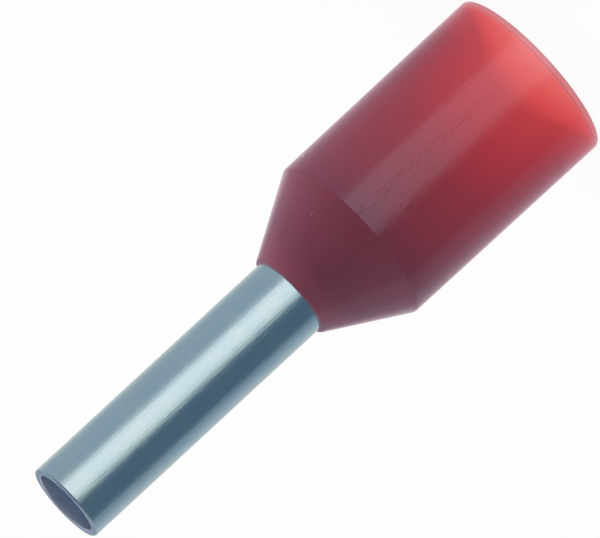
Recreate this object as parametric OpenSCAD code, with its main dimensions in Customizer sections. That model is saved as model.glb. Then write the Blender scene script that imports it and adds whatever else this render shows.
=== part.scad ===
// Insulated wire ferrule for a 1 mm2 stranded conductor: a thin tinned copper tube in a
// moulded polypropylene collar.  The collar is slipped over the tube, and a punch then
// bells and flares the tube's inner end into the collar, which locks the two together.
// The ferrule stands on the mouth of its collar, with the tube's tip up.  The origin is
// the centre of the mouth, and +Z runs along the axis towards the tip.

/* [Copper tube] */
// Outside diameter of the bare tube
tube_od = 1.7; // [1.5:0.05:1.9]
// Wall thickness of the tube
tube_wall = 0.15; // [0.1:0.01:0.2]
// Length of bare tube that stands out of the collar
bare_length = 6; // [4:0.5:12]
// Radius that deburring leaves on the edges of both cut ends
deburr = 0.04; // [0.01:0.005:0.045]
// Diameter across the flared inner end, before its edge is deburred
flare_od = 2.4; // [2.3:0.05:2.7]
// Radius of the bend into the flare, on the tube's outside
flare_bend = 0.4; // [0.2:0.05:0.5]

/* [Plastic collar] */
// Bore of the straight skirt that takes the cable's insulation
cable_bore = 3; // [2.9:0.05:3.4]
// Wall of the skirt at the shoulder
skirt_wall = 0.36; // [0.3:0.02:0.5]
// Length of the straight skirt, from the mouth to the shoulder
skirt_length = 4.86; // [4:0.02:8]
// Draft of the skirt's outside in degrees, wider at the mouth
skirt_draft = 0.35; // [0:0.05:1]
// Half angle of the cone in degrees
cone_angle = 29.6; // [27:0.2:32]
// Wall of the cone, square to its surface
cone_wall = 0.36; // [0.3:0.01:0.4]
// Wall of the thin lip that closes on the tube
lip_wall = 0.08; // [0.05:0.01:0.1]
// Draft in degrees of the land that grips the tube between the lip and the funnel
land_draft = 1.5; // [0.5:0.5:3]
// Gap between the tube and the land and funnel that it seats in
seat_gap = 0; // [0:0.005:0.02]

/* [Collar edges] */
// Radius of the mouth's outer edge
mouth_edge = 0.05; // [0.03:0.01:0.14]
// Radius of the mouth's inner edge, which leads the cable in
mouth_lead_in = 0.14; // [0.05:0.01:0.15]
// Radius of the blend at the shoulder
shoulder_blend = 0.12; // [0.05:0.01:0.3]
// Radius of the lip's outer edge
lip_edge = 0.05; // [0.03:0.01:0.08]
// Radius of the blend between the cable bore and the funnel
funnel_blend = 0.5; // [0.2:0.1:1]

/* [Hidden] */
// Sides of a full turn, and the step in degrees between the points of a blend
$fn = 128;
blend_step = 7.5;

// Radii of the tube and of the collar
tube_r = tube_od / 2;
cable_r = cable_bore / 2;
shoulder_r = cable_r + skirt_wall;
mouth_r = shoulder_r + skirt_length * tan(skirt_draft);
grip_r = tube_r + seat_gap;
lip_r = grip_r + lip_wall;

// Heights of the lip, where the cone has come in to its radius, and of the tube's tip
lip_height = skirt_length + (shoulder_r - lip_r) / tan(cone_angle);
tip_height = lip_height + bare_length;

// Points on the outside of the cone, on the funnel under it and on the land
shoulder = [shoulder_r, skirt_length];
funnel = under(shoulder, cone_angle, cone_wall);
land = [grip_r, lip_height];

// The point at this depth under a face that leans out by an angle from the axis
function under(point, angle, depth) = point - depth * [cos(angle), sin(angle)];

// Where two faces cross, each through a point and widening downwards at its angle
function crossing(p, p_angle, q, q_angle) =
    let (
        spread = tan(q_angle) - tan(p_angle),
        height = (q.x + q.y * tan(q_angle) - p.x - p.y * tan(p_angle)) / spread
    )
    [p.x + (p.y - height) * tan(p_angle), height];

// Unit vector from one point towards another
function toward(from, to) = (to - from) / norm(to - from);

// Points of the arc that blends a corner into the sides that lead to its two neighbours
function blend(before, corner, after, radius) =
    let (
        a = toward(corner, before),
        b = toward(corner, after),
        half = acos(a * b) / 2,
        centre = corner + (a + b) / norm(a + b) * radius / sin(half),
        from_centre = corner + a * radius / tan(half) - centre,
        to_centre = corner + b * radius / tan(half) - centre,
        sweep = 180 - 2 * half,
        steps = ceil(sweep / blend_step)
    )
    [for (i = [0:steps])
        let (turned = sweep * i / steps)
        centre + (from_centre * sin(sweep - turned) + to_centre * sin(turned)) / sin(sweep)];

// Solid of revolution from the corners of its half section, each blended by its radius
module turned(corners, radii) {
    count = len(corners);
    rotate_extrude()
    polygon([for (i = [0:count - 1]) each
        radii[i] == 0
            ? [corners[i]]
            : blend(corners[(i + count - 1) % count], corners[i], corners[(i + 1) % count], radii[i])]);
}

// One face of the tube, at its radius when bare and its depth under the collar's seat:
// straight from the tip to the lip, belled along the land, then leaning out as the flare
function tube_face(radius, depth) =
    let (
        tip = [radius, tip_height],
        belled = under(land, land_draft, depth),
        flared = under(funnel, cone_angle, depth)
    )
    [
        tip,
        crossing(tip, 0, belled, land_draft),
        crossing(belled, land_draft, flared, cone_angle)
    ];

// Tube: the same wall all along, and its flared end cut square to that wall
module sleeve() {
    outside = tube_face(tube_r, seat_gap);
    inside = tube_face(tube_r - tube_wall, seat_gap + tube_wall);
    flare_out = crossing([flare_od / 2, 0], 0, outside[2], cone_angle);
    flare_in = under(flare_out, cone_angle, tube_wall);

    color([0.66, 0.72, 0.76])
    turned(
        [outside[0], inside[0], inside[1], inside[2], flare_in, flare_out, outside[2], outside[1]],
        [deburr, deburr, 0, flare_bend + tube_wall, deburr, deburr, flare_bend, 0]
    );
}

// Collar: skirt, cone and thin lip outside; inside, the cable bore, the funnel that the
// flare seats in and the land that grips the tube
module collar() {
    color([0.62, 0.2, 0.24])
    turned(
        [
            [cable_r, 0],
            [mouth_r, 0],
            shoulder,
            [lip_r, lip_height],
            land,
            crossing(land, land_draft, funnel, cone_angle),
            crossing([cable_r, 0], 0, funnel, cone_angle)
        ],
        [mouth_lead_in, mouth_edge, shoulder_blend, lip_edge, 0, flare_bend - seat_gap, funnel_blend]
    );
}

sleeve();
collar();
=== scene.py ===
# Insulated wire ferrule for a 1 mm2 stranded conductor.  It stands on the mouth of its
# plastic collar, with the tip of its tinned copper tube up.
import math

import bmesh
import bpy
from mathutils import Matrix, Vector


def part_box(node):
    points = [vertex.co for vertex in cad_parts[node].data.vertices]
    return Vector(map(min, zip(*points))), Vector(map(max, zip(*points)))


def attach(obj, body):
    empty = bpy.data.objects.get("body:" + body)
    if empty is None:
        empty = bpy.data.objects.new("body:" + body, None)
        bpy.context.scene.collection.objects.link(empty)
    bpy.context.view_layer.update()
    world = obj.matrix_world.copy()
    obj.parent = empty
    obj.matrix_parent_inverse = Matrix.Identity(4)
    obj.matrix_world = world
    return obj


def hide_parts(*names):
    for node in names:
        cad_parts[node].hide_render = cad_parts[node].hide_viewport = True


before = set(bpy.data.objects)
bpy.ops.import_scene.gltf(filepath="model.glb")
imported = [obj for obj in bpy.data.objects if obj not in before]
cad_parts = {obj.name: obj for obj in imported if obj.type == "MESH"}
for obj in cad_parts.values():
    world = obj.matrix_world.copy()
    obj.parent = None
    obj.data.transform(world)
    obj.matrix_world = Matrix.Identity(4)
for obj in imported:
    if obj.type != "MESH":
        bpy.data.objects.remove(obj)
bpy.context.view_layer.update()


# Tube.  Copper drawn thin and tin plated bright, cut off square and deburred at its tip.  A
# punch bells and then flares its other end inside the collar, and that locks the two together.
mm = 0.001
tip_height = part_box("sleeve")[1].z
tube_wall = 0.15 * mm
deburr = 0.04 * mm
flare_bend = 0.4 * mm

# Radius and height of the tube's outside at its tip, at the lip of the collar, at the foot of
# the bell and at the end of the flare
tip = (0.85 * mm, tip_height)
lip = (0.85 * mm, 6.497 * mm)
bell = (0.8661 * mm, 5.8807 * mm)
flare = (1.2 * mm, 5.293 * mm)

# Radius and height of its inside at both ends
tip_inside = (0.7 * mm, tip_height)
flare_inside = (1.0696 * mm, 5.2189 * mm)


def raise_wall(name, rings):
    """Wall of revolution drawn from the first ring through each of the others."""
    bpy.ops.object.select_all(action="DESELECT")
    radius, height = rings[0]
    bpy.ops.mesh.primitive_circle_add(vertices=256, radius=radius, location=(0, 0, height))
    piece = bpy.context.object
    piece.name = piece.data.name = name
    bpy.ops.object.transform_apply(location=True, rotation=False, scale=False)
    bpy.ops.object.mode_set(mode="EDIT")
    bpy.ops.mesh.select_all(action="SELECT")
    for next_radius, next_height in rings[1:]:
        bpy.ops.mesh.extrude_region_move(
            TRANSFORM_OT_translate={"value": (0, 0, next_height - height)}
        )
        grow = next_radius / radius
        bpy.ops.transform.resize(value=(grow, grow, 1), center_override=(0, 0, 0))
        radius, height = next_radius, next_height
    return piece


def select_rings(piece, *rings):
    """In edit mode, select the edges that run round at these radii and heights."""
    near = 0.002 * mm
    bpy.ops.mesh.select_mode(type="EDGE")
    bpy.ops.mesh.select_all(action="DESELECT")
    shape = bmesh.from_edit_mesh(piece.data)
    for edge in shape.edges:
        for radius, height in rings:
            if all(
                abs(end.co.xy.length - radius) < near and abs(end.co.z - height) < near
                for end in edge.verts
            ):
                edge.select_set(True)
    bmesh.update_edit_mesh(piece.data)


def bevel_selected(offset, steps):
    """Round the selected edges, from this far on either side of them."""
    bpy.ops.mesh.bevel(
        offset_type="OFFSET", offset=offset, segments=steps, profile=0.5, affect="EDGES",
        clamp_overlap=False,
    )


def round_off(piece, before, ring, after, blend, steps):
    """Round the edge at a ring by the blend's radius, between its two neighbour rings."""
    one_side = (Vector(before) - Vector(ring)).normalized()
    other_side = (Vector(after) - Vector(ring)).normalized()
    half_corner = one_side.angle(other_side) / 2
    select_rings(piece, ring)
    bevel_selected(blend / math.tan(half_corner), steps)


def leave_edit():
    """Point every face out, and go back to object mode."""
    bpy.ops.mesh.select_all(action="SELECT")
    bpy.ops.mesh.normals_make_consistent(inside=False)
    bpy.ops.object.mode_set(mode="OBJECT")


def finish_shape(piece):
    """Shade the piece smooth, and let its large faces keep their true shading."""
    sharpest_smooth = math.radians(32)
    leave_edit()
    bpy.ops.object.shade_smooth_by_angle(angle=sharpest_smooth)
    weighted = piece.modifiers.new("True shading", "WEIGHTED_NORMAL")
    weighted.keep_sharp = True
    weighted.weight = 80
    bpy.ops.object.modifier_apply(modifier=weighted.name)


tube = raise_wall("tinned_tube", [tip, lip, bell, flare])
round_off(tube, lip, bell, flare, flare_bend, steps=10)
leave_edit()
wall = tube.modifiers.new("Tube wall", "SOLIDIFY")
wall.thickness = tube_wall
wall.offset = -1
wall.use_even_offset = True
bpy.ops.object.modifier_apply(modifier=wall.name)
bpy.ops.object.mode_set(mode="EDIT")
for rim in (tip, tip_inside, flare, flare_inside):
    select_rings(tube, rim)
    bevel_selected(deburr, steps=6)
finish_shape(tube)


def feed(owner, target, source):
    """Give an input socket an output to follow, or a value of its own."""
    if isinstance(source, bpy.types.NodeSocket):
        owner.node_tree.links.new(source, target)
    else:
        target.default_value = source


def add_node(owner, kind, inputs=None, **settings):
    """One shader node of a material or a world, with its settings and what feeds its inputs."""
    made = owner.node_tree.nodes.new(kind)
    for name, value in settings.items():
        setattr(made, name, value)
    for name, source in (inputs or {}).items():
        feed(owner, made.inputs[name], source)
    return made


def set_stops(ramp, stops):
    """Give a colour ramp its stops, each a position and a colour."""
    elements = ramp.color_ramp.elements
    while len(elements) > 1:
        elements.remove(elements[-1])
    elements[0].position, elements[0].color = stops[0][0], (*stops[0][1], 1)
    for position, colour in stops[1:]:
        elements.new(position).color = (*colour, 1)


def colour_ramp(owner, position, stops):
    """Colour ramp that an output moves along."""
    ramp = add_node(owner, "ShaderNodeValToRGB", {"Fac": position})
    set_stops(ramp, stops)
    return ramp


def remap(owner, value, low, high, at_low=0, at_high=1):
    """Goes from at_low to at_high as the value goes from low to high, and stays there beyond."""
    made = add_node(owner, "ShaderNodeMapRange", {
        "Value": value, "From Min": low, "From Max": high, "To Min": at_low, "To Max": at_high,
    })
    return made.outputs["Result"]


def mix_colours(owner, share, under, over):
    """Goes from one colour to the other with the share.  Either may be an output or fixed."""
    # A Mix node has sockets for each kind of data, and these are its numbers for colours
    first, second, result = 6, 7, 2
    made = add_node(owner, "ShaderNodeMix", {"Factor": share, first: under, second: over},
                    data_type="RGBA")
    return made.outputs[result]


def stretched_noise(owner, place, per_mm, inputs, **settings):
    """Noise with this many cells to the millimetre along X, Y and Z."""
    scale = [cells / mm for cells in per_mm]
    stretched = add_node(owner, "ShaderNodeMapping", {"Vector": place, "Scale": scale})
    inputs = {"Vector": stretched.outputs["Vector"], "Scale": 1, **inputs}
    return add_node(owner, "ShaderNodeTexNoise", inputs, **settings).outputs["Fac"]


def add_relief(owner, height, depth, under=None):
    """Normal of a relief of this depth, over the normal of the relief under it."""
    inputs = {"Height": height, "Strength": 1, "Distance": depth}
    if under is not None:
        inputs["Normal"] = under
    return add_node(owner, "ShaderNodeBump", inputs).outputs["Normal"]


def tin_plate(name, warm_patch, cool_patch, at_tip, sharpest, dullest, line_depth):
    """Tin in two close colours and a third by the tip, with the lines that drawing leaves."""
    patches_per_mm = 1.8
    tip_band = 0.2 * mm
    tin = bpy.data.materials.new(name)
    tin.use_nodes = True
    shader = tin.node_tree.nodes["Principled BSDF"]
    shader.inputs["Metallic"].default_value = 1
    place = add_node(tin, "ShaderNodeTexCoord").outputs["Object"]

    patches = add_node(tin, "ShaderNodeTexNoise", {
        "Vector": place, "Scale": patches_per_mm / mm, "Detail": 2})
    plated = colour_ramp(tin, patches.outputs["Fac"], [(0.35, cool_patch), (0.65, warm_patch)])
    height = add_node(tin, "ShaderNodeSeparateXYZ", {"Vector": place}).outputs["Z"]
    near_tip = remap(tin, height, low=tip_height - tip_band, high=tip_height)
    tinned = mix_colours(tin, near_tip, plated.outputs["Color"], (*at_tip, 1))
    feed(tin, shader.inputs["Base Color"], tinned)

    drawn = stretched_noise(tin, place, (24, 24, 1.3), {"Detail": 5, "Roughness": 0.65})
    gloss = remap(tin, drawn, low=0.3, high=0.7, at_low=sharpest, at_high=dullest)
    feed(tin, shader.inputs["Roughness"], gloss)
    feed(tin, shader.inputs["Normal"], add_relief(tin, drawn, line_depth))
    return tin


# The tin is bright outside and duller in the bore, where the mandrel has rubbed it.  Inside the
# cut end it is paler, and a little copper shows through.
tube.data.materials.append(tin_plate(
    "Bright tin plate",
    warm_patch=(0.60, 0.73, 0.69), cool_patch=(0.56, 0.70, 0.70), at_tip=(0.60, 0.72, 0.70),
    sharpest=0.14, dullest=0.21, line_depth=0.004 * mm,
))
tube.data.materials.append(tin_plate(
    "Dull tin in the bore",
    warm_patch=(0.76, 0.84, 0.92), cool_patch=(0.72, 0.83, 0.94), at_tip=(0.93, 0.89, 0.90),
    sharpest=0.36, dullest=0.44, line_depth=0.001 * mm,
))

# A face that looks inwards by more than this belongs to the bore
inwards = 0.3
for face in tube.data.polygons:
    from_axis = Vector((face.center.x, face.center.y, 0))
    if face.normal.dot(from_axis) < -inwards * from_axis.length:
        face.material_index = 1
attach(tube, "root")
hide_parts("sleeve")


# Collar.  Polypropylene moulded in one shot round a core: a straight skirt that takes the
# cable's insulation, a cone, and a thin lip that closes on the tube.  Its red base colour holds
# painted light: a painted glow of light through the thin wall towards the open mouth, and
# painted shade where the cone and the tube back it.
mouth = (1.8896 * mm, 0)
shoulder = (1.86 * mm, 4.86 * mm)
lip_outside = (0.93 * mm, 6.497 * mm)
funnel_foot = (1.5 * mm, 4.7649 * mm)
cable_bore = (1.5 * mm, 0)

# Radii of the blends between its faces
mouth_edge = 0.05 * mm
mouth_lead_in = 0.14 * mm
shoulder_blend = 0.12 * mm
lip_edge = 0.05 * mm
funnel_blend = 0.5 * mm

# Fine witness line that the mould's stripper ring leaves round the skirt, just inside the mouth
line_foot = (1.8890 * mm, 0.108 * mm)
line_bottom = (1.881 * mm, 0.120 * mm)
line_top = (1.8888 * mm, 0.132 * mm)

collar = raise_wall("moulded_collar", [
    mouth, line_foot, line_bottom, line_top, shoulder, lip_outside, lip, bell, funnel_foot,
    cable_bore,
])
select_rings(collar, mouth, cable_bore)
bpy.ops.mesh.bridge_edge_loops()
round_off(collar, cable_bore, mouth, shoulder, mouth_edge, steps=6)
round_off(collar, mouth, shoulder, lip_outside, shoulder_blend, steps=6)
round_off(collar, shoulder, lip_outside, lip, lip_edge, steps=6)
round_off(collar, lip, bell, funnel_foot, flare_bend, steps=10)
round_off(collar, bell, funnel_foot, cable_bore, funnel_blend, steps=8)
round_off(collar, funnel_foot, cable_bore, mouth, mouth_lead_in, steps=8)

# A burr at the end of the skirt and a pimple on the cone, both left by the mould
burr = Vector((1.797 * mm, -0.450 * mm, 4.500 * mm))
pimple = Vector((0.860 * mm, -1.305 * mm, 5.359 * mm))
speck_radius = 0.04 * mm
for speck in (burr, pimple):
    bpy.ops.mesh.select_all(action="DESELECT")
    bpy.ops.mesh.primitive_uv_sphere_add(
        segments=16, ring_count=8, radius=speck_radius, location=speck
    )
finish_shape(collar)


def compute(owner, operation, *terms, **settings):
    """Result of a Math node, each term an output or a number."""
    inputs = dict(enumerate(terms))
    return add_node(owner, "ShaderNodeMath", inputs, operation=operation, **settings).outputs[0]


plastic = bpy.data.materials.new("Red polypropylene")
plastic.use_nodes = True
plastic_shader = plastic.node_tree.nodes["Principled BSDF"]
plastic_shader.inputs["IOR"].default_value = 1.5
plastic_shader.inputs["Specular IOR Level"].default_value = 0.88
plastic_shader.inputs["Specular Tint"].default_value = (0.75, 0.85, 1, 1)
plastic_shader.inputs["Sheen Weight"].default_value = 0.36
plastic_shader.inputs["Sheen Roughness"].default_value = 0.35
plastic_shader.inputs["Sheen Tint"].default_value = (1, 0.4, 0.65, 1)
in_collar = add_node(plastic, "ShaderNodeTexCoord").outputs["Object"]
x, y, height = add_node(plastic, "ShaderNodeSeparateXYZ", {"Vector": in_collar}).outputs

# The painted glow dies away sooner on the two flanks than at the front and the back, because a
# flank takes the painted shade of a place further up.  How far up rises to a peak and then falls
# again.
flank_curve = 1.4
peak_height = 1 * mm
peak_reach = 2.2 * mm
shoulder_reach = 0.2 * mm
mouth_share = 0.25
x_square = compute(plastic, "MULTIPLY", x, x)
y_square = compute(plastic, "MULTIPLY", y, y)
sideways = compute(plastic, "DIVIDE", x_square, compute(plastic, "ADD", x_square, y_square))
flank = compute(plastic, "POWER", sideways, flank_curve)
rise = remap(plastic, height, low=0, high=peak_height, at_low=mouth_share, at_high=1)
fall = remap(plastic, height, low=peak_height, high=5 * mm,
             at_low=peak_reach, at_high=shoulder_reach)
reach = compute(plastic, "MULTIPLY", rise, fall)
painted_glow_height = compute(plastic, "MULTIPLY_ADD", flank, reach, height)
painted_glow_length = 7 * mm


def shades_at(*shades):
    """Stops for the plastic's ramp, from heights above the mouth in millimetres."""
    return [(up * mm / painted_glow_length, colour) for up, colour in shades]


# Red of the plastic with painted light in it: a painted glow by the mouth that deepens to
# painted shade up the cone
depth = remap(plastic, painted_glow_height, low=0, high=painted_glow_length)
red_and_painted_glow = colour_ramp(plastic, depth, shades_at(
    (0.154, (1.00, 0.185, 0.170)),
    (0.399, (0.94, 0.128, 0.113)),
    (0.700, (0.86, 0.082, 0.078)),
    (1.099, (0.61, 0.045, 0.052)),
    (2.100, (0.455, 0.030, 0.041)),
    (3.080, (0.300, 0.026, 0.038)),
    (4.060, (0.220, 0.025, 0.040)),
    (4.900, (0.146, 0.024, 0.040)),
    (6.020, (0.126, 0.026, 0.044)),
    (6.510, (0.165, 0.038, 0.058)),
))

# The edge of the mouth is scuffed pale, and the scuffing ends just past the witness line
scuff = remap(plastic, height, low=0.05 * mm, high=0.19 * mm, at_low=0.6, at_high=0)
scuffed = mix_colours(plastic, scuff, red_and_painted_glow.outputs["Color"], (0.74, 0.38, 0.41, 1))

# Painted shade in the witness line: its groove is darkened in the base colour on the side away
# from the burr
off_line = compute(plastic, "ABSOLUTE", compute(plastic, "SUBTRACT", height, line_top[1]))
in_line = remap(plastic, off_line, low=0.004 * mm, high=0.026 * mm, at_low=0.24, at_high=0)
shaded_side = remap(plastic, x, low=0.2 * mm, high=-0.5 * mm)
painted_groove_shade = compute(plastic, "MULTIPLY", in_line, shaded_side)
groove_shaded = mix_colours(plastic, painted_groove_shade, scuffed, (0.30, 0.05, 0.10, 1))
feed(plastic, plastic_shader.inputs["Base Color"], groove_shaded)

# Fine grain of the mould's own face
grain = stretched_noise(plastic, in_collar, (9, 9, 3), {"Detail": 5, "Roughness": 0.6})
gloss = remap(plastic, grain, low=0.3, high=0.7, at_low=0.10, at_high=0.16)
feed(plastic, plastic_shader.inputs["Roughness"], gloss)
grained = add_relief(plastic, grain, 0.001 * mm)

# Drag lines, which the mould leaves along the skirt and the cone as the part is pushed out
drag = stretched_noise(plastic, in_collar, (11, 11, 1), {"Detail": 2, "Distortion": 1.2})
dragged = add_relief(plastic, drag, 0.0035 * mm, grained)

# Scuffs along one line of its front, where it has rubbed on its neighbours in the bag
rubbed_x = 0.25 * mm
aside = compute(plastic, "ABSOLUTE", compute(plastic, "SUBTRACT", x, rubbed_x))
by_line = remap(plastic, aside, low=0.02 * mm, high=0.17 * mm, at_low=1, at_high=0)
front = compute(plastic, "LESS_THAN", y, 0)
off_mouth = remap(plastic, height, low=0.7 * mm, high=1.4 * mm)
rubbed = compute(plastic, "MULTIPLY", by_line, compute(plastic, "MULTIPLY", front, off_mouth))
scratches = stretched_noise(
    plastic, in_collar, (16, 16, 4), {"Detail": 2, "Distortion": 1.5}, normalize=False
)
peaks = remap(plastic, scratches, low=0.05, high=0.6)
scratch_height = compute(plastic, "MULTIPLY", peaks, rubbed)
scratched = add_relief(plastic, scratch_height, 0.0042 * mm, dragged)
feed(plastic, plastic_shader.inputs["Normal"], scratched)
collar.data.materials.append(plastic)

# The burr is painted pale, partly as stress whitening and partly as a painted highlight, and the
# pimple above it a little paler, as a painted highlight
pale_plastic = plastic.copy()
pale_plastic.name = "Pale polypropylene"
set_stops(pale_plastic.node_tree.nodes[red_and_painted_glow.name], shades_at(
    (4.97, (0.50, 0.34, 0.39)),
    (5.25, (0.195, 0.050, 0.075)),
))
collar.data.materials.append(pale_plastic)
near_speck = 1.25 * speck_radius
for face in collar.data.polygons:
    if min((face.center - speck).length for speck in (burr, pimple)) < near_speck:
        face.material_index = 1
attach(collar, "root")
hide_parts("collar")


# Floor.  A plain white sheet, which the shiny parts don't pick up.  Most of it glows white to
# the camera, and the rest takes the soft shadow that the ferrule casts on it.
glowing_share = 0.9
bpy.ops.object.select_all(action="DESELECT")
bpy.ops.mesh.primitive_circle_add(vertices=96, radius=4, fill_type="NGON", location=(0, 0, 0))
floor = bpy.context.object
floor.name = "floor"
floor.visible_glossy = False


def mix_shaders(owner, share, under, over):
    """Goes from one shader to the other with the share."""
    return add_node(owner, "ShaderNodeMixShader", {0: share, 1: under, 2: over}).outputs[0]


sheet = bpy.data.materials.new("White sheet")
sheet.use_nodes = True
sheet.node_tree.nodes.remove(sheet.node_tree.nodes["Principled BSDF"])
paper = add_node(sheet, "ShaderNodeBsdfDiffuse", {"Color": (0.9, 0.9, 0.9, 1)})
glow = add_node(sheet, "ShaderNodeEmission", {"Color": (1, 1, 1, 1), "Strength": 1})
to_camera = add_node(sheet, "ShaderNodeLightPath").outputs["Is Camera Ray"]
glowing = compute(sheet, "MULTIPLY", to_camera, glowing_share)
lit_sheet = mix_shaders(sheet, glowing, paper.outputs[0], glow.outputs[0])
feed(sheet, sheet.node_tree.nodes["Material Output"].inputs["Surface"], lit_sheet)
floor.data.materials.append(sheet)


# Cards.  A drum of white, grey and dark card stands round the ferrule, and only reflections
# see it: it draws the bright band and the dark flanks on the tube and on the collar.
bpy.ops.object.select_all(action="DESELECT")
bpy.ops.mesh.primitive_cylinder_add(
    vertices=128, radius=0.5, depth=2.4, end_fill_type="NGON", location=(0, 0, 0)
)
cards = bpy.context.object
cards.name = "cards"
bpy.ops.object.shade_smooth()
cards.visible_camera = False
cards.visible_diffuse = False
cards.visible_transmission = False
cards.visible_volume_scatter = False
cards.visible_shadow = False
card = bpy.data.materials.new("White and dark card")
card.use_nodes = True
card.cycles.emission_sampling = "NONE"
card.node_tree.nodes.remove(card.node_tree.nodes["Principled BSDF"])
in_drum = add_node(card, "ShaderNodeTexCoord").outputs["Object"]
turn = add_node(card, "ShaderNodeTexGradient", {"Vector": in_drum}, gradient_type="RADIAL")


def around(*tones):
    """Stops for a ramp round the drum, from angles in degrees from the front towards +X."""
    return [((degrees / 360 + 0.25) % 1, tone) for degrees, tone in tones]


# Tones of the drum's wall up to a little above the ferrule, and of its lower lid
wall_tones = colour_ramp(card, turn.outputs["Fac"], around(
    (-90, (0.15, 0.215, 0.31)),
    (-82, (0.10, 0.155, 0.237)),
    (-24, (0.10, 0.155, 0.237)),
    (-16, (0.28, 0.34, 0.42)),
    (-11, (0.75, 0.81, 0.86)),
    (-4, (0.92, 0.96, 1.01)),
    (3, (1.01, 1.01, 1.11)),
    (18, (1.10, 1.09, 1.20)),
    (40, (1.07, 1.07, 1.16)),
    (46, (0.42, 0.49, 0.59)),
    (60, (0.37, 0.437, 0.545)),
    (125, (0.40, 0.46, 0.56)),
    (150, (0.62, 0.66, 0.70)),
    (180, (0.95, 0.95, 0.95)),
    (205, (0.60, 0.62, 0.66)),
    (225, (0.52, 0.57, 0.66)),
    (240, (0.42, 0.48, 0.58)),
    (260, (0.28, 0.35, 0.46)),
))

# Tones of the wall above that, and of the upper lid
upper_tones = colour_ramp(card, turn.outputs["Fac"], around(
    (-90, (0.26, 0.29, 0.36)),
    (-20, (0.10, 0.13, 0.17)),
    (5, (0.10, 0.13, 0.17)),
    (50, (0.16, 0.18, 0.23)),
    (90, (0.26, 0.31, 0.38)),
    (130, (0.42, 0.48, 0.56)),
    (165, (0.27, 0.33, 0.45)),
    (200, (0.27, 0.33, 0.45)),
    (225, (0.46, 0.48, 0.58)),
    (262, (0.42, 0.45, 0.55)),
))
card_height = add_node(card, "ShaderNodeSeparateXYZ", {"Vector": in_drum}).outputs["Z"]
above = remap(card, card_height, low=0.02, high=0.07)
tones = mix_colours(card, above, wall_tones.outputs["Color"], upper_tones.outputs["Color"])
card_glow = add_node(card, "ShaderNodeEmission", {"Color": tones, "Strength": 1})
feed(card, card.node_tree.nodes["Material Output"].inputs["Surface"], card_glow.outputs[0])
cards.data.materials.append(card)


# Studio.  An even white room, which lights matt faces a little less than it shows, and one soft
# spot lamp.  The lamp stands off the +X side, looks down at the cone and dies away towards the
# mouth.
room = bpy.data.worlds.new("Studio")
bpy.context.scene.world = room
room.use_nodes = True
room.cycles.sampling_method = "NONE"
soft = room.node_tree.nodes["Background"]
soft.inputs["Color"].default_value = (1, 1, 1, 1)
soft.inputs["Strength"].default_value = 0.93
backdrop = add_node(room, "ShaderNodeBackground", {"Color": (1, 1, 1, 1), "Strength": 1})
seen = add_node(room, "ShaderNodeLightPath").outputs
direct = compute(room, "ADD", seen["Is Camera Ray"], seen["Is Glossy Ray"])
through = compute(room, "ADD", direct, seen["Is Transmission Ray"], use_clamp=True)
white_room = mix_shaders(room, through, soft.outputs[0], backdrop.outputs[0])
feed(room, room.node_tree.nodes["World Output"].inputs["Surface"], white_room)

cone_side = Vector((1.4 * mm, -0.4 * mm, 5.6 * mm))
bpy.ops.object.light_add(type="SPOT", location=(8 * mm, -1.5 * mm, 9 * mm))
lamp = bpy.context.object
lamp.name = "soft_lamp"
lamp.data.spot_size = math.radians(56)
lamp.data.spot_blend = 1
lamp.data.shadow_soft_size = 1.5 * mm
lamp.data.energy = 0.0018
lamp.rotation_euler = (lamp.location - cone_side).to_track_quat("Z", "Y").to_euler()
lamp.visible_glossy = False


# Camera.  It looks down a little on the front from far away, through a very long lens, and is
# rolled so that the tip points down to the left.
elevation = math.radians(12.9)
roll = math.radians(-132.7275)
distance = 320.8 * mm
aim = Vector((0.251 * mm, 0, 0.4782 * tip_height))
towards = Vector((0, -math.cos(elevation), math.sin(elevation)))
bpy.ops.object.camera_add(location=aim + distance * towards)
camera = bpy.context.object
camera.name = "camera"
camera.data.lens = 1000
camera.data.sensor_width = 36
camera.data.clip_start = 0.01
camera.rotation_euler = (
    Matrix.Rotation(math.pi / 2 - elevation, 3, "X") @ Matrix.Rotation(roll, 3, "Z")
).to_euler()
bpy.context.scene.camera = camera
bpy.context.scene.view_settings.view_transform = "Standard"
